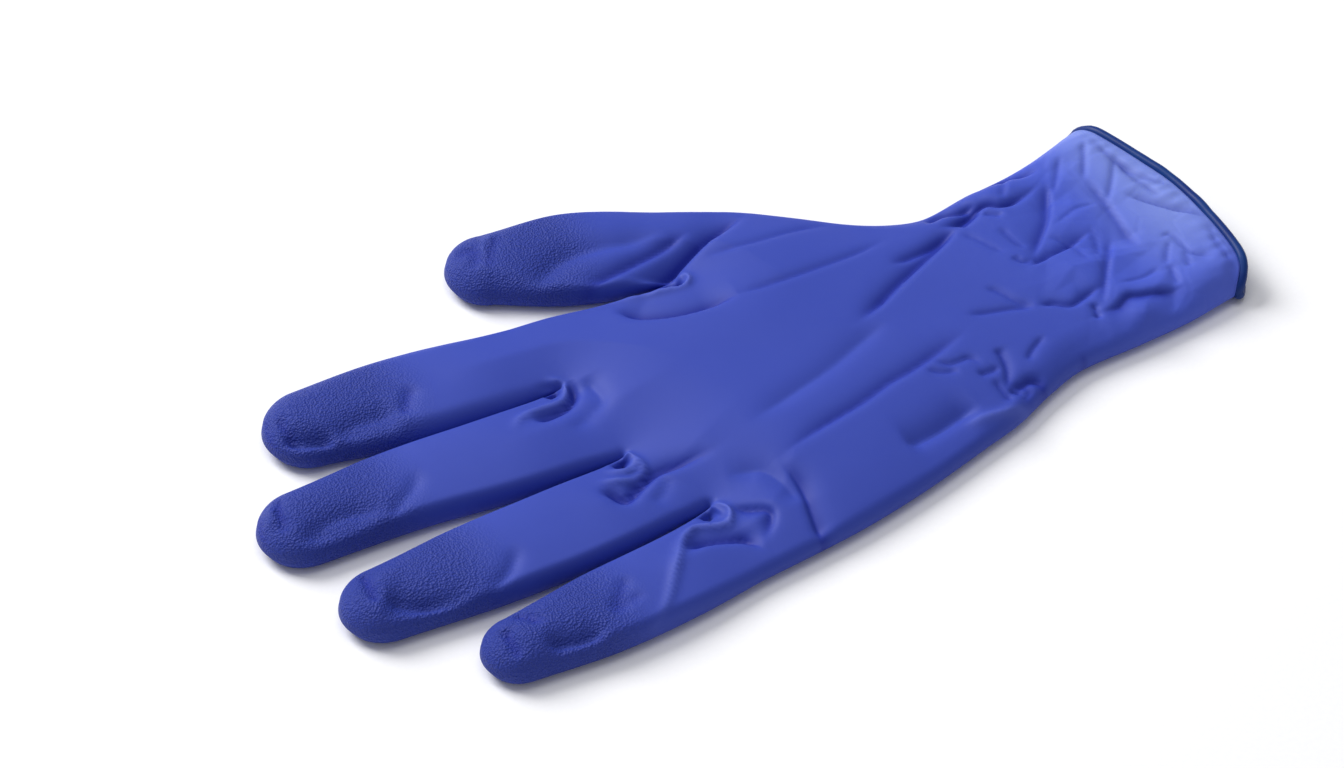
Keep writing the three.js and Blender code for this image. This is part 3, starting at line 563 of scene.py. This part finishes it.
TIP_DENTS = [
    (-2.1, 3.0, 5.0, [(-94.5, 17.5), (-90, 18.5), (-84, 18.5), (-78.5, 18)]),
    (-3, 2.4, 2.2, [(-104.5, 23), (-102, 19.5), (-98, 18), (-94.5, 15.5)]),
    (-1.2, 0.8, 0.8, [(-105.5, 30.5), (-107, 26.5), (-107.5, 22.5), (-107, 19)]),
    (-1.4, 0.8, 1.2, [(-103.5, 27.5), (-103.5, 24), (-103.5, 18.5)]),
    (-1.2, 1.6, 1.2, [(-73, 23.5), (-75.5, 20), (-78.5, 16)]),
    (-2.1, 3.0, 5.0, [(-114.5, -10), (-109.5, -7.5), (-105.5, -6.5), (-100, -6.5), (-92.5, -8)]),
    (-1, 1.6, 1.4, [(-82.5, -1.5), (-86, -6), (-90, -8.5), (-94, -13)]),
    (-1.5, 0.8, 1.2, [(-113.5, 4.5), (-115, -1), (-115.5, -6)]),
    (1.2, 1.4, 1.4, [(-115.5, 3.5), (-118, -3)]),
    (-1.2, 0.8, 0.8, [(-118, 5), (-120, -1), (-120.5, -6)]),
    (-2.1, 1.0, 1.0, [(-105.5, -23), (-106, -28), (-106.5, -34)]),
    (-3.3, 3.2, 3.0, [(-105, -33), (-102, -35), (-97, -38), (-91.5, -40.5), (-84.5, -42.5)]),
    (-1.2, 1.6, 1.4, [(-72.5, -32), (-76.5, -37), (-81.5, -40.5), (-84, -44)]),
    (-1.7, 1.0, 1.4, [(-82, -49.5), (-79.5, -51.5), (-77.5, -55.5)]),
    (-1.8, 0.9, 1.2, [(-85.5, -52.5), (-85.5, -56.5), (-85.5, -61)]),
    (-2.8, 2.6, 3.0, [(-79.5, -60), (-75, -61), (-71, -62), (-65, -61.5)]),
    (-0.8, 1.4, 1.2, [(-55.5, -50.5), (-58.5, -54.5), (-62.5, -58.5)]),
    (-0.6, 1.2, 1.2, [(-62.5, -59), (-58, -57.5), (-54, -56.5)]),
]


def curved(line):
    """A crease's line as a smooth curve through the table's points."""
    line = np.array(line, float)
    count = np.arange(len(line))
    at = np.linspace(0, len(line) - 1, 5 * (len(line) - 1) + 1)
    return np.column_stack([read(np.column_stack([count, line[:, k]]), at) for k in (0, 1)])


# Each crease is a sharp line that eases out on both sides and at its ends. The narrow ones also
# mark the film for the material with painted light: painted shade that deepens the blue along a
# valley, and a painted highlight that makes the ridge of a lip paler.
CREASE_SHARPNESS = 1.25
CREASE_REACH = 5.0
NARROW = 1.4
CREASE_SHADE_MARK = 0.45
RIDGE_HIGHLIGHT_MARK = 0.5
creases = np.zeros(len(spot))
painted_crease_shade = np.zeros(len(spot))
painted_ridge_highlight = np.zeros(len(spot))
for rise, left, right, line in (THUMB_CREASES + CROTCH_CREASES + PALM_CREASES + HEEL_CREASES
                                + WRIST_CREASES + CUFF_CREASES + TIP_DENTS):
    line = curved(line)
    reach = CREASE_REACH * max(left, right)
    near = ((spot > line.min(0) - reach) & (spot < line.max(0) + reach)).all(1)
    away, along, hand_side = distance_to(line, spot[near])
    broad = np.where(hand_side > 0, left, right)
    ends = ease(0.15 + 3.5 * np.minimum(along, 1 - along))
    creases[near] += rise * ends * np.exp(-(away / broad) ** CREASE_SHARPNESS)
    if min(left, right) < NARROW:
        mark = ends * np.exp(-(away / np.clip(0.8 * broad, 0.5, 1.8)) ** 2)
        # painted shade along the valleys, which the material turns into a deeper blue
        painted_crease_shade[near] += CREASE_SHADE_MARK * max(-rise, 0) * mark
        # painted highlight along the ridges, which the material turns into a paler blue
        painted_ridge_highlight[near] += RIDGE_HIGHLIGHT_MARK * max(rise, 0) * mark

# Slack film is never flat: there are long low swells everywhere, sharp facets of two sizes in the
# crinkled cuff, and short pleats that run into the bead. Heights and places are in millimetres.
SWELL = 0.22
FACETS = 1.2
SMALL_FACETS = 0.5
CRINKLE_LIFT = 0.4
RIM_PLEATS = 0.22
CRINKLE_START = 58.0
CRINKLE_FADE = 30.0
CUFF_MIDDLE = 90.0
CORNER_DRIFT = 0.24
x, y = spot[:, 0], spot[:, 1]
swell = SWELL * np.sin(x / 8.1 + 1.3 * np.sin(y / 13.0)) * np.sin(y / 9.7 + 0.4 + x / 31.0)


def crumple(long, broad, turn, seed):
    """Flat three-cornered facets that meet in sharp folds, from -1 to 1 high. They are about
    so long and broad in millimetres, and run at an angle across the glove. Each corner drifts
    off its even place by up to a share of a facet."""
    chance = np.random.default_rng(seed)
    u = ((x - CUFF_MIDDLE) * math.cos(turn) + y * math.sin(turn)) / long
    v = (y * math.cos(turn) - (x - CUFF_MIDDLE) * math.sin(turn)) / broad
    low = np.floor([u.min(), v.min()]).astype(int) - 1
    size = np.ceil([u.max(), v.max()]).astype(int) + 2 - low
    corner = np.stack(np.meshgrid(*(np.arange(n) + s for n, s in zip(size, low)), indexing="ij"), -1)
    corner = corner + chance.uniform(-CORNER_DRIFT, CORNER_DRIFT, corner.shape)
    high = chance.uniform(-1, 1, size)
    out = np.zeros(len(u))
    for i in range(size[0] - 1):
        for j in range(size[1] - 1):
            a, b, c, d = (i, j), (i + 1, j), (i + 1, j + 1), (i, j + 1)
            pair = [(a, b, c), (a, c, d)] if chance.random() < 0.5 else [(a, b, d), (b, c, d)]
            for p, q, r in pair:
                e, f = corner[q] - corner[p], corner[r] - corner[p]
                gu, gv = u - corner[p][0], v - corner[p][1]
                area = e[0] * f[1] - e[1] * f[0]
                s = (gu * f[1] - gv * f[0]) / area
                t = (gv * e[0] - gu * e[1]) / area
                inside = (s >= -1e-9) & (t >= -1e-9) & (s + t <= 1 + 1e-9)
                height = high[p] * (1 - s - t) + high[q] * s + high[r] * t
                out[inside] = height[inside]
    return out


to_rim = distance_to(spot[hand[-1]], spot)[0]
rim_pleats = np.sin(y / 0.6 + 1.6 * np.sin(y / 3.7)) * np.exp(-(to_rim / 5.0) ** 2)
crinkle = (ease((x - CRINKLE_START) / CRINKLE_FADE)
           * (FACETS * crumple(15.0, 9.5, 0.5, 3) + SMALL_FACETS * crumple(7.5, 5.5, -0.6, 8)
              + CRINKLE_LIFT)
           + RIM_PLEATS * rim_pleats)

# All of it fades out at the outline, in a shorter way near the crotches, and at the rim. The
# upper film never sinks through the lower one.
SIDE_FADE = 3.6
WEB_FADE = 1.4
WEB_REACH = 9.0
RIM_FADE = 5.0
fade_reach = mix(SIDE_FADE, WEB_FADE, np.exp(-(to_web / WEB_REACH) ** 2))
upper += (creases + swell + crinkle) * ease(inset / fade_reach) * ease(0.1 + to_rim / RIM_FADE)
upper = np.maximum(upper, mix(SIDE_FOLD, lower + 2 * FILM, ease(inset / fade_reach)))

# The outer skin: fine above, where it shows, and every second row and column below.
outer_points = [np.column_stack([spot, upper])]
below = np.full(len(spot), -1)
below[on_outline] = np.flatnonzero(on_outline)
kept = np.zeros(len(spot), bool)
for ids in grids:
    kept[ids[::2, ::2]] = True
under = np.flatnonzero(kept & ~on_outline)
below[under] = len(spot) + np.arange(len(under))
outer_points.append(np.column_stack([spot, lower])[under])
outer_points = np.concatenate(outer_points)


def grid_cells(ids):
    """The four-cornered cells of a grid of points, turned to face up."""
    cells = np.stack([ids[:-1, :-1], ids[:-1, 1:], ids[1:, 1:], ids[1:, :-1]], -1).reshape(-1, 4)
    p, q, r = (spot[cells[:, k]] for k in range(3))
    turn = (q - p)[:, 0] * (r - p)[:, 1] - (q - p)[:, 1] * (r - p)[:, 0]
    return np.where((turn > 0)[:, None], cells, cells[:, ::-1])


halfway = {}
for run in outline_runs:
    for a, middle, b in zip(run[:-2:2], run[1:-1:2], run[2::2]):
        halfway[a, b] = halfway[b, a] = middle


def with_halfway(cell):
    """A coarse cell with the fine points on its outline sides put in."""
    ring = []
    for k, a in enumerate(cell):
        ring.append(a)
        if (a, cell[(k + 1) % 4]) in halfway:
            ring.append(halfway[a, cell[(k + 1) % 4]])
    return ring


fine_cells = np.concatenate([grid_cells(ids) for ids in grids])
coarse_cells = np.concatenate([grid_cells(ids[::2, ::2]) for ids in grids])
faces = fine_cells.tolist()
faces += [[int(below[p]) for p in with_halfway(cell)][::-1] for cell in coarse_cells.tolist()]


# The lining: the film's inner face. It lies just under the lowest film nearby.
def lowest_nearby(values, reach):
    low = values.copy()
    for ids in grids:
        padded = np.pad(values[ids], reach, mode="edge")
        tall, wide = ids.shape
        window = np.min([padded[a:a + tall, b:b + wide] for a in range(2 * reach + 1)
                         for b in range(2 * reach + 1)], axis=0)
        low[ids] = np.minimum(low[ids], window)
    low[on_outline] = values[on_outline]
    return low


def skin_normals(points, cells):
    p = points[cells]
    n = np.cross(p[:, 2] - p[:, 0], p[:, 3] - p[:, 1])
    total = np.zeros_like(points)
    for k in range(4):
        np.add.at(total, cells[:, k], n)
    return total / np.maximum(np.linalg.norm(total, axis=1, keepdims=True), 1e-12)


smooth_points = outer_points.copy()
smooth_points[:len(spot), 2] = lowest_nearby(upper, 2)
both_coarse = np.concatenate([coarse_cells, below[coarse_cells][:, ::-1]])
lining_all = smooth_points - skin_normals(smooth_points, both_coarse) * FILM
used = np.unique(both_coarse)
lining_id = np.full(len(outer_points), -1)
lining_id[used] = len(outer_points) + np.arange(len(used))
points = np.concatenate([outer_points, lining_all[used]])
faces += lining_id[both_coarse][:, ::-1].tolist()

# At the rim the two faces of the film meet under the bead.
rim_over = hand[-1]
rim_loop = np.concatenate([rim_over[::2], below[rim_over[2:-2:2]][::-1]])
next_loop = np.roll(rim_loop, -1)
for m, (a, b) in enumerate(zip(rim_loop.tolist(), next_loop.tolist())):
    ring = [a, int(lining_id[a]), int(lining_id[b]), b]
    if m < COLUMNS // 2:
        ring.append(int(rim_over[2 * m + 1]))
    faces.append(ring)


def mesh_piece(name, points_mm, cells):
    """A named, smooth-shaded mesh object from points in millimetres."""
    mesh = bpy.data.meshes.new(name)
    mesh.from_pydata((np.asarray(points_mm) / 1000.0).tolist(), [], cells)
    mesh.shade_smooth()
    piece = bpy.data.objects.new(name, mesh)
    bpy.context.scene.collection.objects.link(piece)
    return piece


film = mesh_piece("film_skin", points, faces)


def paint(piece, name, values):
    """A share from 0 to 1 at every point, for the material to read."""
    layer = piece.data.attributes.new(name, "FLOAT", "POINT")
    layer.data.foreach_set("value", np.asarray(values, np.float32))


def for_film(values):
    """Values of the plan points, carried to the lower film and the lining."""
    outer = np.concatenate([values, values[under]])
    return np.concatenate([outer, outer[used]])


# What the material reads: the former's blasted fingertips, whose blue is also deepened in part as
# painted shade, the crinkled cuff, the far part of the cuff, painted paler as a painted glow of
# light coming through one layer of film, and the valleys and ridges of the creases, given painted
# shade and a painted highlight. The first three fade in from places on the glove and over stretches
# of it, both in millimetres.
is_digit = digit_way > 0
# The fingertip share also deepens their blue: partly the pebbled film's own tone, partly painted
# shade where the round tips turn away from the light.
paint(film, "pebbled_and_tip_shade", for_film((1 - ease((to_tip - 22.0) / 16.0)) * is_digit))
paint(film, "cuff", for_film(ease((x - 52.0) / 60.0)))
# painted glow: the far part of the cuff, which the material paints paler for light coming through
# one layer of film
paint(film, "painted_glow_through", for_film(ease((x - 90.0) / 24.0) * ease((y + 38.0) / 34.0)))
# painted shade of the valleys
paint(film, "painted_crease_shade", for_film(np.minimum(painted_crease_shade, 1.0)))
# painted highlight of the ridges
paint(film, "painted_ridge_highlight", for_film(np.minimum(painted_ridge_highlight, 1.0)))

# Blue nitrile rubber, smooth off a glazed former: satin, a little waxy and thin. Its colour is
# painted paler at the far part of the cuff, a painted glow for light coming through the film there.
# The former's blasted fingertips leave pebbles of about half a millimetre, drawn from
# half-millimetre cells that join into coarser ones, since finer ones wouldn't show. Crackle lines
# lie 12 mm apart, drifts of colour 36 mm, grain 2.4 mm.
PEBBLES_PER_METRE = 1.0 / 0.0005
CRINKLES_PER_METRE = 1.0 / 0.012
DRIFTS_PER_METRE = 28.0
GRAINS_PER_METRE = 420.0
nitrile, tree = new_material("dipped_nitrile_film")
coords = node(tree, "ShaderNodeTexCoord")
pebbled_and_tip_shade = node(tree, "ShaderNodeAttribute", {"attribute_name": "pebbled_and_tip_shade"})
cuff = node(tree, "ShaderNodeAttribute", {"attribute_name": "cuff"})
lit = node(tree, "ShaderNodeAttribute", {"attribute_name": "painted_glow_through"})
crease_shade_here = node(tree, "ShaderNodeAttribute", {"attribute_name": "painted_crease_shade"})
ridge_highlight_here = node(tree, "ShaderNodeAttribute", {"attribute_name": "painted_ridge_highlight"})
cloudy = node(tree, "ShaderNodeTexNoise",
              values={"Scale": DRIFTS_PER_METRE, "Detail": 3.0, "Roughness": 0.55},
              links={"Vector": coords.outputs["Object"]})
body_blue = node(tree, "ShaderNodeMix", {"data_type": "RGBA"},
                 {"A": linear("#3244A4"), "B": linear("#394BAC")}, {"Factor": cloudy.outputs["Fac"]})
# Deeper blue at the fingertips: partly the pebbled film's own tone, partly painted shade where the
# round tips turn away from the light.
tip_blue_and_shade = node(tree, "ShaderNodeMix", {"data_type": "RGBA"}, {"B": linear("#2A3B94")},
                {"Factor": pebbled_and_tip_shade.outputs["Fac"], "A": body_blue.outputs["Result"]})
cuff_blue = node(tree, "ShaderNodeMix", {"data_type": "RGBA"}, {"B": linear("#485CC6")},
                 {"Factor": cuff.outputs["Fac"], "A": tip_blue_and_shade.outputs["Result"]})
# Painted glow: the far part of the cuff painted paler for light coming through the film.
glow_through_blue = node(tree, "ShaderNodeMix", {"data_type": "RGBA"}, {"B": linear("#788AD6")},
                 {"Factor": lit.outputs["Fac"], "A": cuff_blue.outputs["Result"]})
# Painted highlight: the blue made paler along the ridges of the curled lips.
ridge_highlight_share = node(tree, "ShaderNodeMath", {"operation": "MULTIPLY"}, {1: 0.6},
                 {0: ridge_highlight_here.outputs["Fac"]})
ridge_highlight_blue = node(tree, "ShaderNodeMix", {"data_type": "RGBA"}, {"B": linear("#6272CC")},
                {"Factor": ridge_highlight_share.outputs["Value"], "A": glow_through_blue.outputs["Result"]})
# Painted shade: the blue deepened along the valleys and the pockets at the crotches.
crease_shade_share = node(tree, "ShaderNodeMath", {"operation": "MULTIPLY"}, {1: 0.95},
                  {0: crease_shade_here.outputs["Fac"]})
crease_shade_blue = node(tree, "ShaderNodeMix", {"data_type": "RGBA"}, {"B": linear("#182890")},
                 {"Factor": crease_shade_share.outputs["Value"], "A": ridge_highlight_blue.outputs["Result"]})
pebble = node(tree, "ShaderNodeTexVoronoi", {"feature": "SMOOTH_F1"},
              {"Scale": PEBBLES_PER_METRE, "Smoothness": 0.25}, {"Vector": coords.outputs["Object"]})
pebble_depth = node(tree, "ShaderNodeMath", {"operation": "MULTIPLY"},
                    links={0: pebble.outputs["Distance"], 1: pebbled_and_tip_shade.outputs["Fac"]})
pebble_bump = node(tree, "ShaderNodeBump", values={"Strength": 0.8, "Distance": 0.0004},
                   links={"Height": pebble_depth.outputs["Value"]})
fine = node(tree, "ShaderNodeTexNoise", values={"Scale": GRAINS_PER_METRE, "Detail": 3.0},
            links={"Vector": coords.outputs["Object"]})
fine_bump = node(tree, "ShaderNodeBump", values={"Strength": 0.10, "Distance": 0.0002},
                 links={"Height": fine.outputs["Fac"], "Normal": pebble_bump.outputs["Normal"]})
crackle = node(tree, "ShaderNodeTexVoronoi", {"feature": "DISTANCE_TO_EDGE"},
               {"Scale": CRINKLES_PER_METRE, "Randomness": 1.0},
               {"Vector": coords.outputs["Object"]})
crackle_line = node(tree, "ShaderNodeMapRange", {"interpolation_type": "SMOOTHSTEP"},
                    {"From Max": 0.09}, {"Value": crackle.outputs["Distance"]})
crackle_depth = node(tree, "ShaderNodeMath", {"operation": "MULTIPLY"},
                     links={0: crackle_line.outputs["Result"], 1: cuff.outputs["Fac"]})
crackle_bump = node(tree, "ShaderNodeBump", values={"Strength": 0.12, "Distance": 0.0006},
                    links={"Height": crackle_depth.outputs["Value"],
                           "Normal": fine_bump.outputs["Normal"]})
rough = node(tree, "ShaderNodeMapRange", values={"To Min": 0.50, "To Max": 0.60},
             links={"Value": cloudy.outputs["Fac"]})
film_shader = node(tree, "ShaderNodeBsdfPrincipled",
                   values={"IOR": 1.5, "Specular IOR Level": 0.22,
                           "Subsurface Weight": 0.12, "Subsurface Scale": 0.0015,
                           "Subsurface Radius": (0.4, 0.5, 1.0)},
                   links={"Base Color": crease_shade_blue.outputs["Result"],
                          "Roughness": rough.outputs["Result"],
                          "Normal": crackle_bump.outputs["Normal"]})
node(tree, "ShaderNodeOutputMaterial", links={"Surface": film_shader.outputs["BSDF"]})
film.data.materials.append(nitrile)
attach(film, "root")
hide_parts("glove")

# The rolled cuff bead: the wet film's rim rolled up on the former into a firm round ring. It is
# the same nitrile, many turns thick, so it looks much darker than the film, with a smoother
# sheen. Its middle stands out past the rim, so that the film runs into the ring. Faint marks of
# the rolling lie about 6 mm apart.
BEAD_SIDES = 16
BEAD_OUT = 0.40
ROLL_MARKS_PER_METRE = 160.0
outer_rim = points[rim_loop]
inner_rim = points[lining_id[rim_loop]]
through = outer_rim - inner_rim
through /= np.linalg.norm(through, axis=1, keepdims=True)
along_rim = np.roll(outer_rim, -1, 0) - np.roll(outer_rim, 1, 0)
outward = np.cross(along_rim, through)
outward /= np.linalg.norm(outward, axis=1, keepdims=True)
outward *= np.where(outward[:, :1] < 0, -1.0, 1.0)
bead_middle = (outer_rim + inner_rim) / 2 + outward * BEAD_DIAMETER * BEAD_OUT
rings = []
for k in range(BEAD_SIDES):
    turn = 2 * math.pi * k / BEAD_SIDES
    rings.append(bead_middle
                 + BEAD_DIAMETER / 2 * (math.cos(turn) * outward + math.sin(turn) * through))
count = len(rim_loop)
bead_cells = []
for k in range(BEAD_SIDES):
    up = (k + 1) % BEAD_SIDES
    for m in range(count):
        n = (m + 1) % count
        bead_cells.append((k * count + m, k * count + n, up * count + n, up * count + m))
bead = mesh_piece("rolled_bead", np.concatenate(rings), bead_cells)
bead_rubber, tree = new_material("rolled_nitrile_bead")
coords = node(tree, "ShaderNodeTexCoord")
rolled = node(tree, "ShaderNodeTexNoise", values={"Scale": ROLL_MARKS_PER_METRE, "Detail": 2.0},
              links={"Vector": coords.outputs["Object"]})
bead_blue = node(tree, "ShaderNodeMix", {"data_type": "RGBA"},
                 {"A": linear("#0B1A68"), "B": linear("#114080")}, {"Factor": rolled.outputs["Fac"]})
bead_bump = node(tree, "ShaderNodeBump", values={"Strength": 0.2, "Distance": 0.0002},
                 links={"Height": rolled.outputs["Fac"]})
bead_shader = node(tree, "ShaderNodeBsdfPrincipled",
                   values={"Roughness": 0.42, "IOR": 1.5, "Specular IOR Level": 0.2},
                   links={"Base Color": bead_blue.outputs["Result"],
                          "Normal": bead_bump.outputs["Normal"]})
node(tree, "ShaderNodeOutputMaterial", links={"Surface": bead_shader.outputs["BSDF"]})
bead.data.materials.append(bead_rubber)
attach(bead, "root")
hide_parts("glove")
